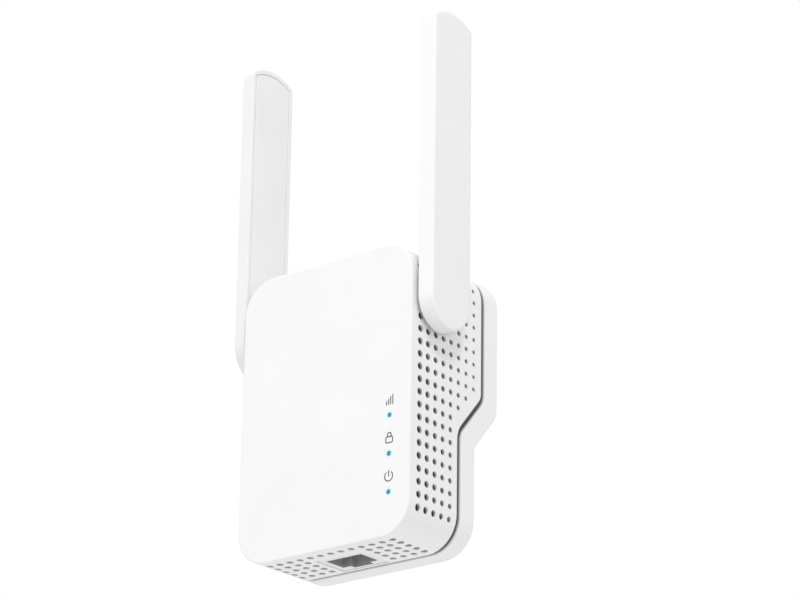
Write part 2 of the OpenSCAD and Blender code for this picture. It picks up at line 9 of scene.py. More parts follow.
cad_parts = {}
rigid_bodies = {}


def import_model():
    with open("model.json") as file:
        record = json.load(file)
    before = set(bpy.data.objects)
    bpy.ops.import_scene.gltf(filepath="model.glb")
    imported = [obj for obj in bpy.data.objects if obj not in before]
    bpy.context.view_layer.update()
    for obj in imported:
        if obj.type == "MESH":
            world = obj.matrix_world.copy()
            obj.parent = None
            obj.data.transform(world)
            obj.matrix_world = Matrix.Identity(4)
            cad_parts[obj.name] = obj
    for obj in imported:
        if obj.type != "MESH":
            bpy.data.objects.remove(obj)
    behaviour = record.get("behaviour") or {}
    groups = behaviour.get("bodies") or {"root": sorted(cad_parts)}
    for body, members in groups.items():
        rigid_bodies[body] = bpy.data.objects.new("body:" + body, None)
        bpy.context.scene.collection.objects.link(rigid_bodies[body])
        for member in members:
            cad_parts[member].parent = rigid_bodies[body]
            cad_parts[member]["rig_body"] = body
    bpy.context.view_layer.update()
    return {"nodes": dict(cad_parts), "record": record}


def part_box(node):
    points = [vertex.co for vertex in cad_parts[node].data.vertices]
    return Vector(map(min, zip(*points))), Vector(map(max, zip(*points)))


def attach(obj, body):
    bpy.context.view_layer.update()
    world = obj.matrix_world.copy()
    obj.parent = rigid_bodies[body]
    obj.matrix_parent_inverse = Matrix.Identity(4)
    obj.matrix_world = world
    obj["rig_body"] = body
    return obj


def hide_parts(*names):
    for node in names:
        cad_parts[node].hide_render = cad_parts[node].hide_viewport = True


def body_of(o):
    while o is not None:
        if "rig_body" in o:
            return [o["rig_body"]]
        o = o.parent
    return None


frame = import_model()
NODES = frame["nodes"]

MM = 0.001  # this script's sizes are in millimetres, Blender's in metres

# ---- Driving sizes, the same as the CAD model's ----
CASE_LOW, CASE_HIGH = (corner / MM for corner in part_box("front_shell"))
SIDE_X = CASE_HIGH.x
FRONT_Y = CASE_LOW.y
TOP_Z = CASE_HIGH.z
LOW_Z = CASE_LOW.z
CORNER_R = 9.7
WALL = 2.2
STEP_LEAN = math.radians(41)
SEAM_DEEP, SEAM_LOW, SEAM_DROP = 7.4, 17.8, 17.55
STEP_D, REAR_DROP = 10.1, 20.9
GROOVE_W, GROOVE_D = 1.4, 1.05
PIVOT_Y, PIVOT_Z = -28.2, 4.05
BUTTON_Y, BUTTON_Z = -27.6, -41.0
ANTENNA_X, ANTENNA_T, ANTENNA_R, ANTENNA_REACH = SIDE_X + 1.08, 4.6, 8.75, 86.3
CROWN_R, CROWN_CORNER_R, ANTENNA_RIM, ANTENNA_SKIN = 15.3, 2.0, 1.4, 1.3
JACK_LOW, JACK_HIGH = (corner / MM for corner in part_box("jack_housing"))
LED_X = 22.9
LED_ZS = (-29.3, -40.1, -50.8)
TOP_SCREW, LOW_SCREW, BOARD_SCREW = (21.5, 12.0), (20.5, -55.5), (22.0, -14.0)
MAIN_BOARD_Y = -32.2
POWER_BOARD_Y, BOARD_T, POWER_SCREW = -9.6, 1.6, (20.0, -12.0)
PIN_SIZE, EARTH_SIZE = (6.35, 3.975), (3.975, 7.95)
PIN_X, PIN_Z = 11.115, 11.115    # the line and neutral pins are below the origin, the earth pin above
PIN_LENGTH, EARTH_LENGTH, SLEEVE_LENGTH, SLEEVE_T = 17.7, 22.7, 9.2, 0.35
BARREL_R, BARREL_END_X, FEED_BORE_R = 3.85, 24.5, 0.9
CLIP_X, CLIP_GROOVE_W, CLIP_GROOVE_R = 26.2, 0.8, 3.3
COVER_GAP, COVER_T = 0.15, 1.2
BUTTON_R, BUTTON_OUT, BUTTON_INNER_X = 2.95, 0.6, 26.8
VENT_ROWS = (20, 20, 20, 20, 20, 11, 10, 9)     # rows in each side column, front first
VENT_R, VENT_SHRINK = 1.0, 0.057                # front radius, and how much less in each column behind
VENT_COLUMN_PITCH, VENT_ROW_PITCH, VENT_LOW_PITCH = 3.356, 3.6, 3.57
VENT_FROM_FACE, VENT_FROM_TOP = 4, 3.5
HINGE_CLEAR, BUTTON_CLEAR = 7.2, 5              # no vents this near the hinge or the button
HINGE_HOLE_R, BUTTON_HOLE_R, LED_HOLE_R = 3.9, 3.1, 0.65
SCREW_HOLE_R, SCREW_WELL_R, WELL_MOUTH_R = 1.45, 2.8, 3.3
TOP_SEAT, LOW_SEAT = -12, -14                   # the case screws' heads rest here
COLUMN_R, POST_R = 4, 2.2
FLANGE_T, FLANGE_RIM = 1.6, 1.6
FAR = 60.0                                      # well beyond the object

# ---- Camera ----
CAMERA_TURN = 39.067     # degrees to the right of straight on
CAMERA_LIFT = -21.087    # degrees above level, so it looks up
CAMERA_ROLL = 0.846
CAMERA_DISTANCE = 0.88466
CAMERA_LENS = 143.13
CAMERA_TARGET = Vector((0.010577, -0.019386, 0.012239))

# ---- Small tools ----


def arc(centre, radius, start, end, steps):
    """Points of an arc, angles in radians."""
    turns = (start + (end - start) * i / steps for i in range(steps + 1))
    return [(centre[0] + radius * math.cos(a), centre[1] + radius * math.sin(a)) for a in turns]


def new_piece(name, mesh):
    """Object that is linked to the scene."""
    piece = bpy.data.objects.new(name, mesh)
    bpy.context.scene.collection.objects.link(piece)
    return piece


def piece_from(name, points, faces):
    """Object from millimetre points."""
    mesh = bpy.data.meshes.new(name)
    mesh.from_pydata([Vector(p) * MM for p in points], [], faces)
    mesh.validate()
    return new_piece(name, mesh)


def fix_normals(piece):
    """Turns all faces outward."""
    bm = bmesh.new()
    bm.from_mesh(piece.data)
    bmesh.ops.recalc_face_normals(bm, faces=bm.faces)
    bm.to_mesh(piece.data)
    bm.free()


def loft(name, rings):
    """Closed solid through rings that have the same number of points."""
    count = len(rings[0])
    points = [p for ring in rings for p in ring]
    faces = []
    for r in range(len(rings) - 1):
        for i in range(count):
            j = (i + 1) % count
            faces.append((r * count + i, r * count + j, (r + 1) * count + j, (r + 1) * count + i))
    faces.append(tuple(range(count)))
    faces.append(tuple(range(len(points) - count, len(points))))
    piece = piece_from(name, points, faces)
    fix_normals(piece)
    return piece


def prism_x(name, outline, x0=-FAR, x1=FAR):
    """Solid of a (y, z) outline along X."""
    return loft(name, [[(x, y, z) for y, z in outline] for x in (x0, x1)])


def box(name, low, high):
    ring = [(low[0], low[1]), (high[0], low[1]), (high[0], high[1]), (low[0], high[1])]
    return loft(name, [[(x, y, z) for x, y in ring] for z in (low[2], high[2])])


AXES = {"X": (Vector((0, 1, 0)), Vector((0, 0, 1)), Vector((1, 0, 0))),
        "Y": (Vector((0, 0, 1)), Vector((1, 0, 0)), Vector((0, 1, 0))),
        "Z": (Vector((1, 0, 0)), Vector((0, 1, 0)), Vector((0, 0, 1)))}


def lathe(name, axis, origin, profile, sides=24):
    """Solid turned about an axis through origin; profile holds (distance along, radius)."""
    u, v, along = AXES[axis]
    origin = Vector(origin)
    rings = []
    for distance, radius in profile:
        turn = [2 * math.pi * i / sides for i in range(sides)]
        rings.append([origin + along * distance + radius * (u * math.cos(a) + v * math.sin(a)) for a in turn])
    return loft(name, rings)


def join(name, pieces):
    """One object from several, which are used up."""
    bm = bmesh.new()
    for piece in pieces:
        bm.from_mesh(piece.data)
        discard(piece)
    mesh = bpy.data.meshes.new(name)
    bm.to_mesh(mesh)
    bm.free()
    return new_piece(name, mesh)


def discard(piece):
    """Removes an object and its mesh."""
    mesh = piece.data
    bpy.data.objects.remove(piece)
    bpy.data.meshes.remove(mesh)


def apply_modifiers(piece):
    """Replaces the mesh by its modified form."""
    graph = bpy.context.evaluated_depsgraph_get()
    mesh = bpy.data.meshes.new_from_object(piece.evaluated_get(graph))
    old = piece.data
    piece.modifiers.clear()
    piece.data = mesh
    bpy.data.meshes.remove(old)


def carve(piece, tool, operation="DIFFERENCE"):
    """Boolean with a tool that is used up."""
    step = piece.modifiers.new("carve", "BOOLEAN")
    step.object = tool
    step.operation = operation
    step.solver = "EXACT"
    apply_modifiers(piece)
    discard(tool)


def bevel_where(piece, wanted, width, segments):
    """Rounds the edges whose two ends both satisfy wanted(point in mm)."""
    bm = bmesh.new()
    bm.from_mesh(piece.data)
    bmesh.ops.dissolve_limit(bm, angle_limit=math.radians(0.05), verts=bm.verts, edges=bm.edges)
    edges = [e for e in bm.edges if len(e.link_faces) == 2 and e.calc_face_angle(0) > math.radians(30)
             and all(wanted(v.co / MM) for v in e.verts)]
    bmesh.ops.bevel(bm, geom=edges, offset=width * MM, offset_type="OFFSET", segments=segments,
                    profile=0.5, affect="EDGES", clamp_overlap=False)
    bm.to_mesh(piece.data)
    bm.free()


def smooth(piece, sharp_above=32):
    """Smooth shading that keeps flat faces flat and edges above the angle sharp."""
    mesh = piece.data
    mesh.polygons.foreach_set("use_smooth", [True] * len(mesh.polygons))
    mesh.set_sharp_from_angle(angle=math.radians(sharp_above))
    weights = piece.modifiers.new("normals", "WEIGHTED_NORMAL")
    weights.keep_sharp = True
    weights.weight = 100


def second_finish(piece, material, inside):
    """Gives the faces whose middle satisfies inside(point in mm) another material."""
    piece.data.materials.append(material)
    for face in piece.data.polygons:
        face.material_index = 1 if inside(face.center / MM) else 0


REPLACED = set()    # CAD nodes that a finished piece stands for


def finish_piece(piece, material, body, slot, *nodes):
    """Dresses a piece, puts it on its body and lets it stand for its CAD nodes."""
    piece.data.materials.clear()
    piece.data.materials.append(material)
    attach(piece, body)
    if nodes:
        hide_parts(*nodes)
        REPLACED.update(nodes)
    return piece


# ---- Case outlines ----


def case_outline(inset, corner_steps=14):
    """Case outline as (x, z) points, moved inward."""
    r = CORNER_R - inset
    x = SIDE_X - CORNER_R
    low, high = LOW_Z + CORNER_R, TOP_Z - CORNER_R
    quarter = math.pi / 2
    points = []
    for k, centre in enumerate([(x, high), (-x, high), (-x, low), (x, low)]):
        points += arc(centre, r, k * quarter, (k + 1) * quarter, corner_steps)
    return points


def outline_depth(x, z):
    """How far a point lies inside the case outline."""
    half_h = (TOP_Z - LOW_Z) / 2
    dx = abs(x) - (SIDE_X - CORNER_R)
    dz = abs(z - (TOP_Z + LOW_Z) / 2) - (half_h - CORNER_R)
    outside = math.hypot(max(dx, 0), max(dz, 0))
    return CORNER_R - outside - min(max(dx, dz), 0)


def case_ring(y, inset):
    return [(x, y, z) for x, z in case_outline(inset)]


def step_line(y_high, y_low, z_high, r_high, r_low, steps=10):
    """Line down the case side that steps forward below the plug, as (y, z) points."""
    ease = math.tan(STEP_LEAN / 2)
    z_low = z_high - (y_high - y_low) / math.tan(STEP_LEAN)
    return ([(y_high, FAR)]
            + arc((y_high - r_high, z_high + r_high * ease), r_high, 0, -STEP_LEAN, steps)
            + arc((y_low + r_low, z_low - r_low * ease), r_low, math.pi - STEP_LEAN, math.pi, steps)
            + [(y_low, -2 * FAR)])


def seam_line(back):
    """Rear edge of the front shell, moved back."""
    return step_line(-SEAM_DEEP + back, -SEAM_LOW + back,
                     -SEAM_DROP - back * math.tan(STEP_LEAN / 2), 4 + back, 7 - back)


def rear_line(inset):
    """Rear face of the case, moved inward."""
    return step_line(-inset, -STEP_D - inset,
                     -REAR_DROP + inset * math.tan(STEP_LEAN / 2), 7 - inset, 4 + inset)


def line_y(line, z):
    """The line's y at a height."""
    for (y0, z0), (y1, z1) in zip(line, line[1:]):
        if z1 <= z <= z0:
            return y0 + (y1 - y0) * (z0 - z) / (z0 - z1)
    return line[-1][0]


def in_front_of(line):
    return prism_x("front_part", [(-2 * FAR, -2 * FAR), (-2 * FAR, FAR)] + line)


def behind(line):
    return prism_x("rear_part", [(2 * FAR, -2 * FAR), (2 * FAR, FAR)] + line)


def on_rim(line, near=0.03):
    """Test for a point on both the case outline and a step line."""
    def wanted(p):
        return abs(outline_depth(p.x, p.z)) < near and abs(p.y - line_y(line, p.z)) < near
    return wanted

# ---- Materials ----


def principled(name, colour, roughness, metallic=0.0, **inputs):
    """Principled material; returns it with its node tree and shader."""
    material = bpy.data.materials.new(name)
    material.use_nodes = True
    shader = material.node_tree.nodes["Principled BSDF"]
    shader.inputs["Base Color"].default_value = (*colour, 1)
    shader.inputs["Roughness"].default_value = roughness
    shader.inputs["Metallic"].default_value = metallic
    for key, value in inputs.items():
        shader.inputs[key.replace("_", " ")].default_value = value
    return material, material.node_tree, shader


def noise(tree, scale, detail=2.0, stretch=(1, 1, 1)):
    """Noise over the piece's own coordinates."""
    place = tree.nodes.new("ShaderNodeTexCoord")
    size = tree.nodes.new("ShaderNodeMapping")
    size.inputs["Scale"].default_value = stretch
    texture = tree.nodes.new("ShaderNodeTexNoise")
    texture.inputs["Scale"].default_value = scale
    texture.inputs["Detail"].default_value = detail
    tree.links.new(place.outputs["Object"], size.inputs["Vector"])
    tree.links.new(size.outputs["Vector"], texture.inputs["Vector"])
    return texture.outputs["Fac"]


def blend_colour(tree, factor, first, second, low=0.35, high=0.65):
    """Colour that runs from first to second as the factor rises."""
    ramp = tree.nodes.new("ShaderNodeValToRGB")
    ramp.color_ramp.elements[0].position = low
    ramp.color_ramp.elements[1].position = high
    ramp.color_ramp.elements[0].color = (*first, 1)
    ramp.color_ramp.elements[1].color = (*second, 1)
    tree.links.new(factor, ramp.inputs["Fac"])
    return ramp.outputs["Color"]


def mix_colour(tree, factor, first, second):
    """Colour between two, each a colour or a socket."""
    mix = tree.nodes.new("ShaderNodeMix")
    mix.data_type = "RGBA"
    tree.links.new(factor, mix.inputs["Factor"])
    for socket, colour in ((mix.inputs[6], first), (mix.inputs[7], second)):
        if isinstance(colour, tuple):
            socket.default_value = (*colour, 1)
        else:
            tree.links.new(colour, socket)
    return mix.outputs[2]


def map_range(tree, value, start, end, first, last, kind="LINEAR"):
    spread = tree.nodes.new("ShaderNodeMapRange")
    spread.interpolation_type = kind
    for name, number in (("From Min", start), ("From Max", end), ("To Min", first), ("To Max", last)):
        spread.inputs[name].default_value = number
    tree.links.new(value, spread.inputs["Value"])
    return spread.outputs["Result"]


def math_step(tree, operation, first, second):
    """Math node; its second number may be a socket."""
    step = tree.nodes.new("ShaderNodeMath")
    step.operation = operation
    tree.links.new(first, step.inputs[0])
    if isinstance(second, (int, float)):
        step.inputs[1].default_value = second
    else:
        tree.links.new(second, step.inputs[1])
    return step.outputs["Value"]


def vector_step(tree, operation, first, second=(0, 0, 0)):
    step = tree.nodes.new("ShaderNodeVectorMath")
    step.operation = operation
    tree.links.new(first, step.inputs[0])
    step.inputs[1].default_value = second
    return step.outputs["Value" if operation in ("LENGTH", "DISTANCE") else "Vector"]


def vary_roughness(tree, shader, factor, low, high):
    tree.links.new(map_range(tree, factor, 0, 1, low, high), shader.inputs["Roughness"])


def bump(tree, shader, height, strength, distance):
    relief = tree.nodes.new("ShaderNodeBump")
    relief.inputs["Strength"].default_value = strength
    relief.inputs["Distance"].default_value = distance
    tree.links.new(height, relief.inputs["Height"])
    tree.links.new(relief.outputs["Normal"], shader.inputs["Normal"])


def shaded(colour, amount):
    return tuple(c * amount for c in colour)


def moulded(name, colour, roughness, grain=9000, depth=0.02, spread=0.04, **inputs):
    """Moulded plastic: spark-eroded grain, faint flow in the colour, uneven gloss."""
    material, tree, shader = principled(name, colour, roughness, **inputs)
    flow = noise(tree, 60, 3)
    tree.links.new(blend_colour(tree, flow, shaded(colour, 0.985), colour), shader.inputs["Base Color"])
    vary_roughness(tree, shader, noise(tree, 900, 3), roughness - spread, roughness + spread)
    bump(tree, shader, noise(tree, grain, 2), 0.35, depth * MM)
    return material


def metal(name, colour, roughness, stretch=(1, 1, 1), scale=3000, depth=0.004):
    """Metal with fine drawn or tumbled marks."""
    material, tree, shader = principled(name, colour, roughness, 1.0)
    marks = noise(tree, scale, 4, stretch)
    tree.links.new(blend_colour(tree, marks, shaded(colour, 0.82), colour), shader.inputs["Base Color"])
    vary_roughness(tree, shader, marks, roughness * 0.75, roughness * 1.35)
    bump(tree, shader, marks, 0.4, depth * MM)
    return material


def circuit_board(name):
    """Green solder mask over copper tracks and ground fill."""
    mask, copper = (0.012, 0.11, 0.05), (0.03, 0.2, 0.08)
    material, tree, shader = principled(name, mask, 0.32, Coat_Weight=0.4, Coat_Roughness=0.15)
    place = tree.nodes.new("ShaderNodeTexCoord")
    tracks = tree.nodes.new("ShaderNodeTexBrick")
    tracks.inputs["Scale"].default_value = 160
    tracks.inputs["Mortar Size"].default_value = 0.06
    tracks.inputs["Color1"].default_value = (*mask, 1)
    tracks.inputs["Color2"].default_value = (*shaded(mask, 0.8), 1)
    tracks.inputs["Mortar"].default_value = (*copper, 1)
    tree.links.new(place.outputs["Object"], tracks.inputs["Vector"])
    tree.links.new(tracks.outputs["Color"], shader.inputs["Base Color"])
    bump(tree, shader, tracks.outputs["Fac"], 0.3, 0.03 * MM)
    return material


def glowing(name, colour, strength, dim):
    """Light guide: clear plastic that glows at its front tips and dims towards the back."""
    material, tree, shader = principled(name, colour, 0.2)
    place = tree.nodes.new("ShaderNodeTexCoord")
    parts = tree.nodes.new("ShaderNodeSeparateXYZ")
    tree.links.new(place.outputs["Object"], parts.inputs["Vector"])
    back, front = (FRONT_Y + WALL) * MM, (FRONT_Y + 0.4) * MM
    glow = map_range(tree, parts.outputs["Y"], back, front, dim, strength)
    tree.links.new(glow, shader.inputs["Emission Strength"])
    shader.inputs["Emission Color"].default_value = (*colour, 1)
    return material


def corner_distance(tree):
    """Corner radius less the shaded point's depth inside the case outline, in metres."""
    place = tree.nodes.new("ShaderNodeTexCoord")
    flat = vector_step(tree, "MULTIPLY", place.outputs["Object"], (1, 0, 1))
    centred = vector_step(tree, "SUBTRACT", flat, Vector((0, 0, (TOP_Z + LOW_Z) / 2)) * MM)
    straight = Vector((SIDE_X - CORNER_R, 0, (TOP_Z - LOW_Z) / 2 - CORNER_R)) * MM
    over = vector_step(tree, "SUBTRACT", vector_step(tree, "ABSOLUTE", centred), straight)
    outside = vector_step(tree, "LENGTH", vector_step(tree, "MAXIMUM", over))
    parts = tree.nodes.new("ShaderNodeSeparateXYZ")
    tree.links.new(over, parts.inputs["Vector"])
    inside = math_step(tree, "MINIMUM", math_step(tree, "MAXIMUM", parts.outputs["X"], parts.outputs["Z"]), 0)
    return math_step(tree, "ADD", outside, inside)


def hollowed(name, colour, deep, reach):
    """Plastic of holes, grooves and the case's inside, painted darker with depth in place of deep shadow."""
    material, tree, shader = principled(name, colour, 0.5)
    depth = map_range(tree, corner_distance(tree), CORNER_R * MM, (CORNER_R - reach) * MM, 0, 1)
    tree.links.new(mix_colour(tree, depth, colour, deep), shader.inputs["Base Color"])
    bump(tree, shader, noise(tree, 6000, 2), 0.3, 0.02 * MM)
    return material


WHITE = (0.86, 0.86, 0.865)
LIGHT_BLUE = (0.008, 0.28, 0.5)
GLOW_STRENGTH, GLOW_REACH, GLOW_TINT = 0.1, 1.3, (0.25, 0.8, 0.9)
MATERIALS = {
    "case_plastic": moulded("case_white", WHITE, 0.42),
    "antenna_plastic": moulded("antenna_white", WHITE, 0.4),
    "jack_plastic": moulded("jack_white", (0.8, 0.8, 0.805), 0.4, grain=6000),
    "light_plastic": moulded("plunger_ivory", (0.75, 0.74, 0.68), 0.3),
    "dark_plastic": moulded("sleeve_black", (0.02, 0.02, 0.022), 0.38),
    "chip_plastic": moulded("chip_black", (0.018, 0.018, 0.02), 0.55, grain=12000, depth=0.03),
    "ferrite": moulded("ferrite_grey", (0.035, 0.035, 0.038), 0.6, grain=7000, depth=0.04),
    "winding_tape": moulded("tape_yellow", (0.75, 0.5, 0.06), 0.28, grain=800, depth=0.05),
    "capacitor_sleeve": moulded("sleeve_blue_black", (0.01, 0.012, 0.03), 0.25, grain=900),
    "resistor_coat": moulded("lacquer_green", (0.1, 0.22, 0.12), 0.3, grain=1500, depth=0.04),
    "disc_coat": moulded("epoxy_blue", (0.02, 0.08, 0.35), 0.22, grain=1200, depth=0.05),
    "thermal_rubber": moulded("pad_blue_grey", (0.25, 0.36, 0.45), 0.7, grain=3000, depth=0.05),
    "washer_rubber": moulded("washer_black", (0.015, 0.015, 0.015), 0.6, grain=4000),
    "cable_jacket": moulded("cable_black", (0.015, 0.015, 0.018), 0.35, grain=5000),
    "label_film": moulded("label_silver", (0.55, 0.56, 0.57), 0.45, grain=3000),
    "steel": metal("zinc_steel", (0.5, 0.51, 0.53), 0.32),
    "tinned_steel": metal("tinned_steel", (0.62, 0.63, 0.64), 0.3, stretch=(1, 1, 0.1)),
    "pin_brass": metal("pin_brass", (0.72, 0.6, 0.38), 0.22, stretch=(1, 0.08, 1)),
    "brass": metal("contact_brass", (0.6, 0.42, 0.18), 0.3),
    "gold": metal("gold_flash", (0.83, 0.6, 0.25), 0.25),
    "aluminium": metal("aluminium", (0.72, 0.73, 0.74), 0.35, stretch=(1, 1, 0.05)),
    "copper": metal("enamelled_copper", (0.6, 0.22, 0.09), 0.25, scale=1500),
    "board": circuit_board("board_green"),
    "led_lens": glowing("led_blue", LIGHT_BLUE, 3.0, 3.0),
    "light_guide": glowing("guide_blue", LIGHT_BLUE, 0.15, 0.1),
}
# Painted shade: white plastic painted darker with depth on the inner faces, in place of shadow in holes,
# grooves and the inside
PAINTED_DEPTH_SHADE = hollowed("case_inside_painted_shade", WHITE, (0.1, 0.1, 0.102), 1.05)
# Painted shade: mid grey for the jack's inner walls, in place of shadow inside its opening
JACK_PAINTED_SHADE = moulded("jack_inside_painted_shade", (0.36, 0.36, 0.365), 0.4)
PRINT_GREY = moulded("print_grey", (0.08, 0.08, 0.082), 0.5)

# ---- Case front ----


def vent_columns():
    """(y, radius, number of rows) of each side column, front first."""
    return [(FRONT_Y + VENT_FROM_FACE + VENT_COLUMN_PITCH * c, VENT_R - VENT_SHRINK * c, rows)
            for c, rows in enumerate(VENT_ROWS)]


def side_surface_x(z):
    """Half the case's width at a height."""
    over = abs(z - (TOP_Z + LOW_Z) / 2) - ((TOP_Z - LOW_Z) / 2 - CORNER_R)
    return SIDE_X - CORNER_R + math.sqrt(CORNER_R ** 2 - max(over, 0) ** 2)


def vent_profile(surface, radius):
    """Through hole with a broken edge, as (distance, radius) from inside to outside."""
    return [(surface - 2 * WALL, radius), (surface - 0.1, radius), (surface + 0.6, radius + 0.35)]


def side_vent_tools(side):
    tools = []
    for y, radius, rows in vent_columns():
        for row in range(1, rows + 1):
            z = TOP_Z - VENT_FROM_TOP - VENT_ROW_PITCH * row
            at_hinge = math.hypot(y - PIVOT_Y, z - PIVOT_Z) < HINGE_CLEAR
            at_button = side < 0 and math.hypot(y - BUTTON_Y, z - BUTTON_Z) < BUTTON_CLEAR
            if at_hinge or at_button:
                continue
            profile = [(side * d, r) for d, r in vent_profile(side_surface_x(z), radius)]
            tools.append(lathe("vent", "X", (0, y, z), profile, 16))
    return tools


def bottom_surface_z(x):
    """Height of the underside at a distance from the middle."""
    over = max(abs(x) - (SIDE_X - CORNER_R), 0)
    return LOW_Z + CORNER_R - math.sqrt(CORNER_R ** 2 - over ** 2)


def bottom_vent_tools():
    """Five rows across the underside, of which the rear four stop beside the socket."""
    tools = []
    for column in range(-6, 7):
        for row in range(5):
            if abs(column) <= 2 and row > 0:
                continue
            x, y = VENT_LOW_PITCH * column, FRONT_Y + VENT_FROM_FACE + VENT_COLUMN_PITCH * row
            profile = [(-d, r) for d, r in vent_profile(-bottom_surface_z(x), VENT_R)]
            tools.append(lathe("vent", "Z", (x, y, 0), profile, 16))
    return tools


def case_solid(name, inset, y0, y1):
    return loft(name, [case_ring(y0, inset), case_ring(y1, inset)])


FACE_SINK = 0.03    # the face lies this far behind the case's front, and the print fills it
FACE_FILLET = 0.35
INNER_FROM = 0.02   # faces deeper than this inside the outline are inner ones
# place, rear end and radius of each boss behind the face
FRONT_BOSSES = ((TOP_SCREW, -18.5, 3), (LOW_SCREW, -20.05, 3), (BOARD_SCREW, MAIN_BOARD_Y, 2.2))


def glow_at_lights(tree, shader):
    """Tint and weak emission painted on the face round the indicators, in place of light from them."""
    place = tree.nodes.new("ShaderNodeTexCoord")
    total = None
    for z in LED_ZS:
        reach = vector_step(tree, "DISTANCE", place.outputs["Object"], Vector((LED_X, FRONT_Y, z)) * MM)
        glow = map_range(tree, reach, 0.55 * MM, GLOW_REACH * MM, 1, 0, "SMOOTHSTEP")
        total = glow if total is None else math_step(tree, "ADD", total, glow)
    plain = shader.inputs["Base Color"].links[0].from_socket
    tree.links.new(mix_colour(tree, math_step(tree, "MULTIPLY", total, 0.8), plain, GLOW_TINT),
                   shader.inputs["Base Color"])
    tree.links.new(math_step(tree, "MULTIPLY", total, GLOW_STRENGTH), shader.inputs["Emission Strength"])
    shader.inputs["Emission Color"].default_value = (*LIGHT_BLUE, 1)


def front_case_body():
    """Front case from its face to the seam, hollow, with the rebate that the rear's tongue fits."""
    rings = []
    for k in range(7):
        a = math.pi / 2 * k / 6
        rings.append(case_ring(FRONT_Y + FACE_SINK + FACE_FILLET * (1 - math.cos(a)),
                               FACE_FILLET * (1 - math.sin(a))))
    rings.append(case_ring(-2, 0))
    shell = loft("front_case", rings)
    carve(shell, behind(seam_line(0)))
    bevel_where(shell, on_rim(seam_line(0)), 0.2, 3)
    carve(shell, case_solid("hollow", WALL, FRONT_Y + WALL, 5))
    rebate = case_solid("rebate", GROOVE_D - 0.05, FRONT_Y + WALL, 5)
    carve(rebate, in_front_of(seam_line(-2.1)))
    carve(rebate, box("keep", (-8.9, -FAR, LOW_Z - 5), (8.9, FAR, LOW_Z + 10)))
    carve(shell, rebate)
    return shell


def front_bosses():
    root = FRONT_Y + WALL - 0.3
    return [lathe("boss", "Y", (side * x, 0, z), [(root, radius), (end, radius)])
            for side in (1, -1) for (x, z), end, radius in FRONT_BOSSES]


def front_openings():
    """Tools for the socket's cut-out, the lights, the hinges, the button and the vents."""
    gap = 0.2
    tools = [box("jack_hole", (JACK_LOW.x - gap, JACK_LOW.y - gap, LOW_Z - 2),
                 (JACK_HIGH.x + gap, JACK_HIGH.y + gap, LOW_Z + 2 * WALL))]
    for z in LED_ZS:
        ends = (FRONT_Y - 1, FRONT_Y + 2 * WALL)
        tools.append(lathe("led_hole", "Y", (LED_X, 0, z), [(y, LED_HOLE_R) for y in ends]))
    for side in (1, -1):
        profile = [(SIDE_X - 2 * WALL, HINGE_HOLE_R), (SIDE_X - 0.3, HINGE_HOLE_R),
                   (SIDE_X + 0.1, HINGE_HOLE_R + 0.4)]
        tools.append(lathe("hinge_hole", "X", (0, PIVOT_Y, PIVOT_Z), [(side * d, r) for d, r in profile], 48))
    profile = [(-SIDE_X + 2 * WALL, BUTTON_HOLE_R), (-SIDE_X + 0.25, BUTTON_HOLE_R),
               (-SIDE_X - 0.1, BUTTON_HOLE_R + 0.35)]
    tools.append(lathe("button_hole", "X", (0, BUTTON_Y, BUTTON_Z), profile, 48))
    return tools + side_vent_tools(1) + side_vent_tools(-1) + bottom_vent_tools()


def make_front_shell():
    shell = front_case_body()
    carve(shell, join("bosses", front_bosses()), "UNION")
    carve(shell, join("openings", front_openings()))
    smooth(shell)
    material = moulded("case_front_white", WHITE, 0.42)
    glow_at_lights(material.node_tree, material.node_tree.nodes["Principled BSDF"])
    finish_piece(shell, material, "housing", "case_plastic", "front_shell")
    edge_y = FRONT_Y + FACE_FILLET + 0.1
    # the inner faces get the painted shade that darkens with depth
    second_finish(shell, PAINTED_DEPTH_SHADE, lambda p: outline_depth(p.x, p.z) > INNER_FROM and p.y > edge_y)


# place, front end, rear wall and radius of each column and board post
REAR_COLUMNS = ((TOP_SCREW, -18.4, -WALL, COLUMN_R), (LOW_SCREW, -20, -STEP_D - WALL, COLUMN_R),
                (POWER_SCREW, POWER_BOARD_Y + BOARD_T, -WALL, POST_R))
# place, seat, front end and mouth of each case screw's hole
SCREW_HOLES = ((TOP_SCREW, TOP_SEAT, -19, 0), (LOW_SCREW, LOW_SEAT, -21, -STEP_D))


def rear_case_body():
    """Rear case behind the groove, hollow, with the tongue that shows in the groove."""
    shell = case_solid("rear_case", 0, -30, 5)
    carve(shell, behind(rear_line(0)))
    carve(shell, in_front_of(seam_line(GROOVE_W)))
    bevel_where(shell, on_rim(rear_line(0)), 0.6, 4)
    bevel_where(shell, on_rim(seam_line(GROOVE_W)), 0.6, 4)
    hollow = case_solid("hollow", WALL, -30, 5)
    carve(hollow, behind(rear_line(WALL)))
    carve(shell, hollow)
    tongue = case_solid("tongue", GROOVE_D, -30, 5)
    carve(tongue, case_solid("hollow", WALL, -31, 6))
    carve(tongue, in_front_of(seam_line(-2)))
    carve(tongue, behind(seam_line(GROOVE_W + 0.5)))
    carve(tongue, box("jack_gap", (-9.1, -FAR, LOW_Z - 5), (9.1, -SEAM_LOW, LOW_Z + 5)))
    carve(shell, tongue, "UNION")
    return shell


def rear_columns():
    return [lathe("column", "Y", (side * x, 0, z), [(end, radius), (wall_y + 0.5, radius)])
            for side in (1, -1) for (x, z), end, wall_y, radius in REAR_COLUMNS]


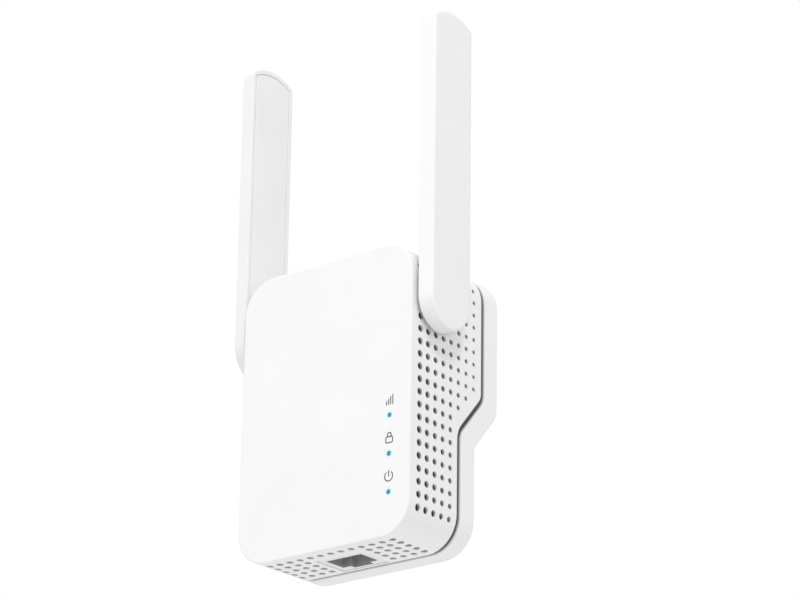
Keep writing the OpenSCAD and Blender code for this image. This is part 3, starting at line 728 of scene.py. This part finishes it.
def rear_openings():
    """Tools for the label's recess, the screw holes and the pin slots."""
    tools = [box("label_recess", (-20, -STEP_D - 0.2, -52), (20, 1, -38))]
    for side in (1, -1):
        for (x, z), seat, front, mouth in SCREW_HOLES:
            profile = [(front, SCREW_HOLE_R), (seat, SCREW_HOLE_R), (seat, SCREW_WELL_R),
                       (mouth - 0.4, SCREW_WELL_R), (mouth + 0.1, WELL_MOUTH_R), (1.5, WELL_MOUTH_R)]
            tools.append(lathe("screw_hole", "Y", (side * x, 0, z), profile, 32))
        tools.append(lathe("board_screw_hole", "Y", (side * POWER_SCREW[0], 0, POWER_SCREW[1]),
                           [(POWER_BOARD_Y, 0.9), (-WALL - 1, 0.9)]))
    rim = FLANGE_RIM - 0.02
    for node in ("line_pin", "neutral_pin", "earth_pin"):
        low, high = (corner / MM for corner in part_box(node))
        tools.append(box("pin_slot", (low.x + rim, -WALL - 1, low.z + rim), (high.x - rim, 1, high.z - rim)))
    return tools


def make_rear_shell():
    shell = rear_case_body()
    carve(shell, join("columns", rear_columns()), "UNION")
    carve(shell, join("openings", rear_openings()))
    smooth(shell)
    finish_piece(shell, MATERIALS["case_plastic"], "housing", "case_plastic", "rear_shell")
    back = rear_line(0)
    # the inner faces, tongue included, get the painted shade that darkens with depth
    second_finish(shell, PAINTED_DEPTH_SHADE,
                  lambda p: outline_depth(p.x, p.z) > INNER_FROM and p.y < line_y(back, p.z) - 0.7)


# ---- Front print and lights ----

PRINT_W = 0.33                       # width of a printed line
PRINT_YS = (FRONT_Y + 0.01, FRONT_Y + FACE_SINK + 0.02)


def band(name, inner, outer, closed=False):
    """Flat printed line between two rows of (x, z) points."""
    count = len(inner)
    points = [(x, y, z) for y in PRINT_YS for line in (inner, outer) for x, z in line]
    faces = []
    for i in range(count if closed else count - 1):
        j = (i + 1) % count
        edges = [(row * count + i, row * count + j) for row in range(4)]
        for first, second in ((0, 1), (1, 3), (3, 2), (2, 0)):
            (a, b), (c, d) = edges[first], edges[second]
            faces.append((a, b, d, c))
    if not closed:
        for i in (0, count - 1):
            faces.append((i, count + i, 3 * count + i, 2 * count + i))
    piece = piece_from(name, points, faces)
    fix_normals(piece)
    return piece


def printed_bar(x, z0, z1):
    """Upright printed line with round ends."""
    r = PRINT_W / 2
    outline = arc((x, z1 - r), r, 0, math.pi, 8) + arc((x, z0 + r), r, math.pi, 2 * math.pi, 8)
    return loft("bar", [[(px, y, pz) for px, pz in outline] for y in PRINT_YS])


def rounded_box_outline(centre, size, r, steps=6):
    """Outline of a rectangle with round corners, as points in its plane."""
    w, h = size[0] / 2 - r, size[1] / 2 - r
    points = []
    for k, (sx, sz) in enumerate([(1, 1), (-1, 1), (-1, -1), (1, -1)]):
        corner = (centre[0] + sx * w, centre[1] + sz * h)
        points += arc(corner, r, k * math.pi / 2, (k + 1) * math.pi / 2, steps)
    return points


def signal_symbol():
    """Four bars that grow to the right."""
    left, pitch, foot = LED_X - 1.12, 0.72, -26.45
    tops = (-25.18, -24.67, -24.01, -23.6)
    return [printed_bar(left + pitch * i, foot, top) for i, top in enumerate(tops)]


def lock_symbol():
    """Padlock: a frame with round corners and a shackle."""
    centre, size, inner_r = (LED_X, -36.26), (2.6, 1.98), 0.15
    inner = rounded_box_outline(centre, [side - 2 * PRINT_W for side in size], inner_r)
    outer = rounded_box_outline(centre, size, inner_r + PRINT_W)
    bend_r, bend_z, leg = 0.62, centre[1] + size[1] / 2 + 0.39, 0.42
    lines = []
    for r in (bend_r - PRINT_W / 2, bend_r + PRINT_W / 2):
        lines.append([(LED_X + r, bend_z - leg)] + arc((LED_X, bend_z), r, 0, math.pi, 14)
                     + [(LED_X - r, bend_z - leg)])
    return [band("lock", inner, outer, closed=True), band("shackle", *lines)]


def power_symbol():
    """Ring that is open at the top, with a bar in the gap."""
    centre, ring_r, gap = (LED_X, -46.45), 1.35, math.radians(35)
    start, end = math.pi / 2 + gap, math.pi * 2.5 - gap
    lines = [arc(centre, r, start, end, 40) for r in (ring_r - PRINT_W / 2, ring_r + PRINT_W / 2)]
    return [band("power_ring", *lines), printed_bar(LED_X, -46.6, -44.77)]


def make_front_print():
    """Signal, security and power symbols above their lights."""
    marks = signal_symbol() + lock_symbol() + power_symbol()
    finish_piece(join("front_symbols", marks), PRINT_GREY, "housing", "dark_plastic")


def make_light_guide():
    """Clear bar behind the face with a domed tip for each light."""
    low, high = (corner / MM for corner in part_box("light_guide"))
    face = FRONT_Y + WALL
    bar = [[(x, y, z) for x, z in rounded_box_outline((LED_X, (LED_ZS[0] + LED_ZS[2]) / 2),
                                                      (3 - 2 * i, LED_ZS[0] - LED_ZS[2] + 2.8 - 2 * i), 0.5)]
           for y, i in ((face, 0.1), (face + 0.1, 0), (face + 1, 0), (face + 1.1, 0.1))]
    guide = loft("light_guide_bar", bar)
    dome = [(low.y, 0.2), (low.y + 0.04, 0.42), (low.y + 0.12, 0.56), (low.y + 0.22, 0.6), (face + 0.05, 0.6)]
    foot = [(face + 1.05, 1.2), (high.y - 0.15, 1.2), (high.y, 1.05)]
    tips = []
    for z in LED_ZS:
        tips += [lathe("tip", "Y", (LED_X, 0, z), dome), lathe("foot", "Y", (LED_X, 0, z), foot)]
    carve(guide, join("tips", tips), "UNION")
    smooth(guide)
    guide.name = "light_guide_piece"
    return finish_piece(guide, MATERIALS["light_guide"], "housing", "light_guide", "light_guide")


# ---- Antennas ----

ANTENNA_DRAFT = 0.75      # how far the front face leans back by the outer face
RIM_BREAK = 0.15          # chamfer of the inner edges


def antenna_ring(side, x, inset):
    """Ring of the antenna outline; x and inset are functions of the outward direction (ny, nz)."""
    crown_z = ANTENNA_REACH - CROWN_R
    corner_y = ANTENNA_R - CROWN_CORNER_R
    crown = CROWN_R - CROWN_CORNER_R
    turn = math.acos(corner_y / crown)
    rise = crown * math.sin(turn)
    stretches = [((0, 0), ANTENNA_R, math.pi, 2 * math.pi, 40, 1),
                 ((corner_y, crown_z + rise), CROWN_CORNER_R, 0, turn, 8, 0),
                 ((0, crown_z), CROWN_R, turn, math.pi - turn, 24, 0),
                 ((-corner_y, crown_z + rise), CROWN_CORNER_R, math.pi - turn, math.pi, 8, 1)]
    ring = []
    for centre, radius, start, end, steps, last in stretches:
        for i in range(steps + last):
            a = start + (end - start) * i / steps
            n = (math.cos(a), math.sin(a))
            r = radius - inset(n)
            ring.append((side * x(n), PIVOT_Y + centre[0] + r * n[0], PIVOT_Z + centre[1] + r * n[1]))
    return ring


def flat_ring(side, x, inset):
    return antenna_ring(side, lambda n: x, lambda n: inset)


def outer_fillet(n):
    """Radius of the outer face's edge: crisp in front and below, soft behind and on top."""
    return 0.45 + 0.65 * max(n[0], 0) + 1.2 * max(n[1], 0) ** 2


def draft(n):
    """How far the outline leans in by the outer face, in an outward direction."""
    return ANTENNA_DRAFT * max(-n[0], 0) ** 2


def antenna_name(side, part):
    return ("right_" if side > 0 else "left_") + part


def make_antenna_shell(side):
    outer = ANTENNA_X + ANTENNA_T
    rings = [flat_ring(side, ANTENNA_X, RIM_BREAK), flat_ring(side, ANTENNA_X + RIM_BREAK, 0)]
    for k in range(9):
        a = math.pi / 2 * k / 8
        rings.append(antenna_ring(
            side,
            lambda n: outer - outer_fillet(n) * (1 - math.sin(a)),
            lambda n: draft(n) * (1 - outer_fillet(n) * (1 - math.sin(a)) / ANTENNA_T)
            + outer_fillet(n) * (1 - math.cos(a))))
    shell = loft(antenna_name(side, "antenna_case"), rings)
    pocket = [flat_ring(side, x, inset) for x, inset in (
        (ANTENNA_X - 1, ANTENNA_RIM - RIM_BREAK), (ANTENNA_X, ANTENNA_RIM - RIM_BREAK),
        (ANTENNA_X + RIM_BREAK, ANTENNA_RIM), (outer - ANTENNA_SKIN, ANTENNA_RIM))]
    carve(shell, loft("pocket", pocket))
    smooth(shell)
    return finish_piece(shell, MATERIALS["antenna_plastic"], antenna_name(side, "antenna"),
                        "antenna_plastic", antenna_name(side, "antenna_shell"))


def make_antenna_cover(side):
    edge = ANTENNA_RIM + COVER_GAP
    cover = loft(antenna_name(side, "antenna_inner_cover"), [flat_ring(side, x, inset) for x, inset in (
        (ANTENNA_X, edge + RIM_BREAK), (ANTENNA_X + RIM_BREAK, edge), (ANTENNA_X + COVER_T, edge))])
    boss_x = SIDE_X + 0.06
    boss_r = 6
    groove_end_x = CLIP_X + CLIP_GROOVE_W
    profile = [(BARREL_END_X, BARREL_R - 0.5), (BARREL_END_X + 0.5, BARREL_R), (CLIP_X, BARREL_R),
               (CLIP_X, CLIP_GROOVE_R), (groove_end_x, CLIP_GROOVE_R), (groove_end_x, BARREL_R),
               (boss_x, BARREL_R), (boss_x, boss_r - 0.2), (boss_x + 0.2, boss_r), (ANTENNA_X + 0.5, boss_r)]
    pivot = (0, PIVOT_Y, PIVOT_Z)
    carve(cover, lathe("barrel", "X", pivot, [(side * x, r) for x, r in profile], 48), "UNION")
    carve(cover, lathe("bore", "X", pivot, [(side * (BARREL_END_X - 1), FEED_BORE_R),
                                            (side * (ANTENNA_X + 3), FEED_BORE_R)], 24))
    smooth(cover)
    return finish_piece(cover, MATERIALS["antenna_plastic"], antenna_name(side, "antenna"),
                        "antenna_plastic", antenna_name(side, "antenna_cover"))


# ---- Plug, screws and button ----


def bar_y(name, centre, size, profile, r=0.45):
    """Bar along Y of rounded rectangles; profile holds (y, inset)."""
    rings = []
    for y, inset in profile:
        inner_size = [side - 2 * inset for side in size]
        rings.append([(x, y, z) for x, z in rounded_box_outline(centre, inner_size, max(r - inset, 0.15))])
    return loft(name, rings)


FLANGE_YS = (-WALL - FLANGE_T, -WALL)
PIN_FLANGE = [(FLANGE_YS[0], -FLANGE_RIM), (FLANGE_YS[1], -FLANGE_RIM), (FLANGE_YS[1], 0)]    # as (y, inset)


def pin_tip(length, rise=1.6, depth=0.85):
    """Rounded lead-in at the end of a pin, as (y, inset)."""
    return [(length - rise * (1 - math.sin(a)), depth * (1 - math.cos(a)))
            for a in (math.pi / 2 * k / 6 for k in range(7))]


def make_live_pin(side, node):
    centre = (side * PIN_X, -PIN_Z)
    profile = (PIN_FLANGE + [(0, 0), (0, SLEEVE_T), (SLEEVE_LENGTH, SLEEVE_T), (SLEEVE_LENGTH, 0.05),
                             (SLEEVE_LENGTH + 0.05, 0)] + pin_tip(PIN_LENGTH))
    pin = bar_y(node + "_blade", centre, PIN_SIZE, profile)
    tail_profile = [(-7.5, 0.9), (-7.2, 1.2), (FLANGE_YS[0] + 0.5, 1.2)]
    carve(pin, lathe("tail", "Y", (centre[0], 0, centre[1]), tail_profile), "UNION")
    smooth(pin)
    return finish_piece(pin, MATERIALS["pin_brass"], "housing", "pin_brass", node)


def make_pin_sleeves():
    sleeves = []
    for side in (1, -1):
        centre = (side * PIN_X, -PIN_Z)
        sleeve = bar_y("sleeve", centre, PIN_SIZE, [(0, 0), (SLEEVE_LENGTH - 0.12, 0), (SLEEVE_LENGTH, 0.12)])
        carve(sleeve, bar_y("core", centre, PIN_SIZE, [(-1, SLEEVE_T), (SLEEVE_LENGTH + 1, SLEEVE_T)]))
        sleeves.append(sleeve)
    piece = join("pin_sleeve_pair", sleeves)
    smooth(piece)
    return finish_piece(piece, MATERIALS["dark_plastic"], "housing", "dark_plastic", "pin_sleeves")


def make_earth_pin():
    pin = bar_y("earth_pin_blade", (0, PIN_Z), EARTH_SIZE, PIN_FLANGE + pin_tip(EARTH_LENGTH))
    smooth(pin)
    return finish_piece(pin, MATERIALS["case_plastic"], "housing", "case_plastic", "earth_pin")


def screw(x, z, seat, point, head_r, head_t, shank_r, drive):
    """Pan-head screw with a cross recess; the head goes from seat towards +Y if point is below it."""
    out = 1 if seat > point else -1
    dome = [(seat, head_r - 0.1), (seat + out * 0.1, head_r), (seat + out * head_t * 0.45, head_r)]
    for k in range(1, 6):
        a = math.pi / 2 * k / 6
        dome.append((seat + out * head_t * (0.45 + 0.55 * math.sin(a)), head_r * (0.35 + 0.65 * math.cos(a))))
    thread = []
    turns = int(abs(seat - point) / 0.6) - 1
    for i in range(turns):
        thread += [(point + out * (0.5 + 0.6 * i), shank_r * 0.82), (point + out * (0.8 + 0.6 * i), shank_r)]
    body = lathe("screw", "Y", (x, 0, z), [(point, shank_r * 0.5)] + thread + [(seat, shank_r)] + dome, 32)
    y0, y1 = sorted((seat + out * head_t * 0.4, seat + out * (head_t + 0.1)))
    for w, h in ((drive, 0.2 * drive), (0.2 * drive, drive)):
        carve(body, box("recess", (x - w / 2, y0, z - h / 2), (x + w / 2, y1, z + h / 2)))
    return body


def make_case_screws():
    screws = []
    for side in (1, -1):
        for (x, z), seat in ((TOP_SCREW, TOP_SEAT), (LOW_SCREW, LOW_SEAT)):
            screws.append(screw(side * x, z, seat, seat - 13, 2.4, 1.7, 1.2, 2.8))
    piece = join("case_screw_set", screws)
    smooth(piece)
    return finish_piece(piece, MATERIALS["steel"], "housing", "steel", "case_screws")


def make_board_screws():
    screws = []
    for side in (1, -1):
        for (x, z), seat, point in ((BOARD_SCREW, MAIN_BOARD_Y + BOARD_T, MAIN_BOARD_Y - 2.5),
                                    (POWER_SCREW, POWER_BOARD_Y, POWER_BOARD_Y + 4.5)):
            screws.append(screw(side * x, z, seat, point, 2, 1.2, 0.85, 2.2))
    piece = join("board_screw_set", screws)
    smooth(piece)
    return finish_piece(piece, MATERIALS["steel"], "housing", "steel", "board_screws")


def make_button():
    """Round cap with a shallow dish, held by a collar behind the wall."""
    tip = SIDE_X + BUTTON_OUT
    inner = SIDE_X - WALL
    profile = [(BUTTON_INNER_X, BUTTON_R - 0.2), (BUTTON_INNER_X + 0.2, BUTTON_R), (inner - 0.8, BUTTON_R),
               (inner - 0.8, BUTTON_R + 0.85), (inner - 0.05, BUTTON_R + 0.85), (inner - 0.05, BUTTON_R)]
    for k in range(6):
        a = math.pi / 2 * k / 5
        profile.append((tip - 0.4 * (1 - math.sin(a)), BUTTON_R - 0.4 * (1 - math.cos(a))))
    profile += [(tip - 0.12, 1.9), (tip - 0.25, 1.1), (tip - 0.3, 0.3)]
    cap = lathe("button_cap_piece", "X", (0, BUTTON_Y, BUTTON_Z), [(-d, r) for d, r in profile], 48)
    smooth(cap)
    return finish_piece(cap, MATERIALS["case_plastic"], "button", "case_plastic", "button_cap")


# ---- CAD nodes that stay, or only get broken edges ----

SLOT_OF = {part["node"]: part["material_slot"] for part in frame["record"]["subparts"]}


def refine(node, width, segments=2):
    """Copy of a CAD node with its edges broken."""
    piece = new_piece(node + "_piece", NODES[node].data.copy())
    bm = bmesh.new()
    bm.from_mesh(piece.data)
    bmesh.ops.remove_doubles(bm, verts=bm.verts, dist=0.001 * MM)
    bmesh.ops.dissolve_limit(bm, angle_limit=math.radians(0.5), verts=bm.verts, edges=bm.edges)
    bm.to_mesh(piece.data)
    bm.free()
    step = piece.modifiers.new("edges", "BEVEL")
    step.width = width * MM
    step.segments = segments
    step.limit_method = "ANGLE"
    step.angle_limit = math.radians(35)
    apply_modifiers(piece)
    smooth(piece)
    slot = SLOT_OF[node]
    return finish_piece(piece, MATERIALS[slot], body_of(NODES[node])[0], slot, node)


def dress_cad_nodes():
    """Finishes for the CAD nodes that are shown as they are."""
    for name, node in NODES.items():
        if name not in REPLACED:
            node.data.materials.clear()
            node.data.materials.append(MATERIALS[SLOT_OF[name]])


# ---- Build ----

make_front_shell()
make_rear_shell()
make_front_print()
make_light_guide()
for hand in (1, -1):
    make_antenna_shell(hand)
    make_antenna_cover(hand)
make_live_pin(1, "line_pin")
make_live_pin(-1, "neutral_pin")
make_pin_sleeves()
make_earth_pin()
make_case_screws()
make_board_screws()
make_button()

EDGE_BREAKS = {
    "jack_housing": 0.1, "jack_contacts": 0.06, "pin_carrier": 0.4, "rating_label": 0.03,
    "power_board": 0.1, "main_board": 0.1, "transformer_core": 0.4, "transformer_bobbin": 0.3,
    "bridge_rectifier": 0.2, "optocoupler": 0.2, "board_link_header": 0.1, "board_link_pins": 0.08,
    "input_capacitors": 0.3, "output_capacitor": 0.3, "fuse_resistor": 0.4, "safety_capacitor": 0.8,
    "wifi_chip": 0.1, "thermal_pad": 0.1, "shield_can": 0.1, "heat_spreader": 0.1,
    "memory_chip": 0.1, "flash_chip": 0.1, "crystal": 0.1, "lan_transformer": 0.2,
    "signal_led": 0.1, "security_led": 0.1, "power_led": 0.1, "switch_body": 0.2,
    "switch_plunger": 0.2, "antenna_sockets": 0.1, "left_hinge_washer": 0.1, "right_hinge_washer": 0.1,
    "left_hinge_clip": 0.1, "right_hinge_clip": 0.1, "left_radiator": 0.08, "right_radiator": 0.08,
}
REFINED = {part: refine(part, width) for part, width in EDGE_BREAKS.items()}
dress_cad_nodes()
# the jack's faces above its mouth get the mid grey painted shade
second_finish(REFINED["jack_housing"], JACK_PAINTED_SHADE, lambda p: p.z > JACK_LOW.z + 0.15)

# ---- Floor, light and camera ----


def make_floor():
    """Wide pale floor, half a metre below the extender."""
    bpy.ops.mesh.primitive_plane_add(size=400, location=(0, 0, -0.5))
    floor = bpy.context.object
    floor.name = "floor"
    light, dark = (0.92, 0.92, 0.92), (0.91, 0.91, 0.91)
    material, tree, shader = principled("floor_white", light, 0.9)
    tree.links.new(blend_colour(tree, noise(tree, 3), dark, light), shader.inputs["Base Color"])
    floor.data.materials.append(material)


def make_world(ambient):
    """Even pale light, with a pure white backdrop."""
    world = bpy.data.worlds.new("studio")
    world.use_nodes = True
    bpy.context.scene.world = world
    tree = world.node_tree
    tree.nodes.clear()
    lit = tree.nodes.new("ShaderNodeBackground")
    lit.inputs["Strength"].default_value = ambient
    seen = tree.nodes.new("ShaderNodeBackground")
    seen.inputs["Strength"].default_value = 1
    for shade in (lit, seen):
        shade.inputs["Color"].default_value = (1, 1, 1, 1)
    path = tree.nodes.new("ShaderNodeLightPath")
    pick = tree.nodes.new("ShaderNodeMixShader")
    out = tree.nodes.new("ShaderNodeOutputWorld")
    tree.links.new(path.outputs["Is Camera Ray"], pick.inputs["Fac"])
    tree.links.new(lit.outputs["Background"], pick.inputs[1])
    tree.links.new(seen.outputs["Background"], pick.inputs[2])
    tree.links.new(pick.outputs["Shader"], out.inputs["Surface"])


def make_light(name, place, size, watts):
    """Soft square light aimed at the middle of the case."""
    light = bpy.data.lights.new(name, "AREA")
    light.shape = "SQUARE"
    light.size = size
    light.energy = watts
    lamp = bpy.data.objects.new(name, light)
    bpy.context.scene.collection.objects.link(lamp)
    lamp.location = place
    aim = Vector((0, -0.02, 0)) - lamp.location
    lamp.rotation_euler = aim.to_track_quat("-Z", "Y").to_euler()


def make_camera():
    turn, lift, roll = (math.radians(a) for a in (CAMERA_TURN, CAMERA_LIFT, CAMERA_ROLL))
    back = Vector((math.sin(turn) * math.cos(lift), -math.cos(turn) * math.cos(lift), math.sin(lift)))
    right = Vector((0, 0, 1)).cross(back).normalized()
    up = back.cross(right)
    rolled_right = right * math.cos(roll) + up * math.sin(roll)
    rolled_up = up * math.cos(roll) - right * math.sin(roll)
    data = bpy.data.cameras.new("camera")
    data.sensor_width = 36
    data.lens = CAMERA_LENS
    data.clip_start = 0.01
    camera = bpy.data.objects.new("camera", data)
    bpy.context.scene.collection.objects.link(camera)
    turned = Matrix((rolled_right, rolled_up, back)).transposed()
    camera.matrix_world = Matrix.Translation(CAMERA_TARGET + back * CAMERA_DISTANCE) @ turned.to_4x4()
    bpy.context.scene.camera = camera


make_floor()
make_world(0.62)
make_light("key", (-0.9, -1.6, 0.35), 1.2, 5.7)
make_light("upper", (0.9, -0.7, 1.1), 0.3, 7.5)
make_light("side", (1.3, -0.35, 0.15), 0.9, 1.6)
make_light("rim", (1.2, 0.5, 0.9), 0.8, 0.5)
make_light("top", (-0.2, -0.3, 1.3), 1.0, 8)
make_camera()
bpy.context.scene.view_settings.view_transform = "Standard"
